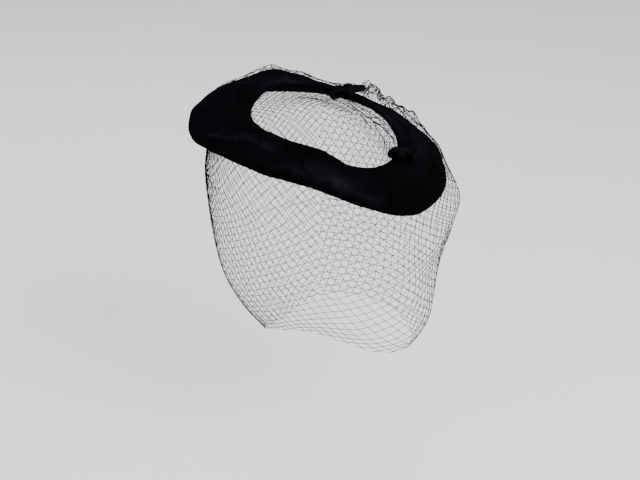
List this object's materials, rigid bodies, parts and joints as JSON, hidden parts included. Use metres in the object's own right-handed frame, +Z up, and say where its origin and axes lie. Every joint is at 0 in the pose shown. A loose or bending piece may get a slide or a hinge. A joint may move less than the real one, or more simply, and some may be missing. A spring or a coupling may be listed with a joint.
{
  "type": "tilt hat",
  "caption": "Velvet ring hat worn tilted forward, its open crown crossed by net, with small velvet bows and a net veil that falls round the face to the neck.",
  "frame": {"origin": "middle of the ring's seat on the head, on the axis of its opening", "axes": "+Z up as worn, -Y the way the wearer looks, +X the wearer's left"},
  "size_m": [0.202, 0.2124, 0.2026],
  "materials": {
    "velvet": "black velvet with a short soft pile",
    "net": "matt black square-mesh veiling"
  },
  "bodies": {
    "root": {"velvet_ring": "velvet", "crown_net": "net", "veil": "net", "back_bow_ribbon": "velvet", "back_bow_knot": "velvet", "front_bow_ribbon": "velvet", "front_bow_knot": "velvet"}
  },
  "joints": []
}
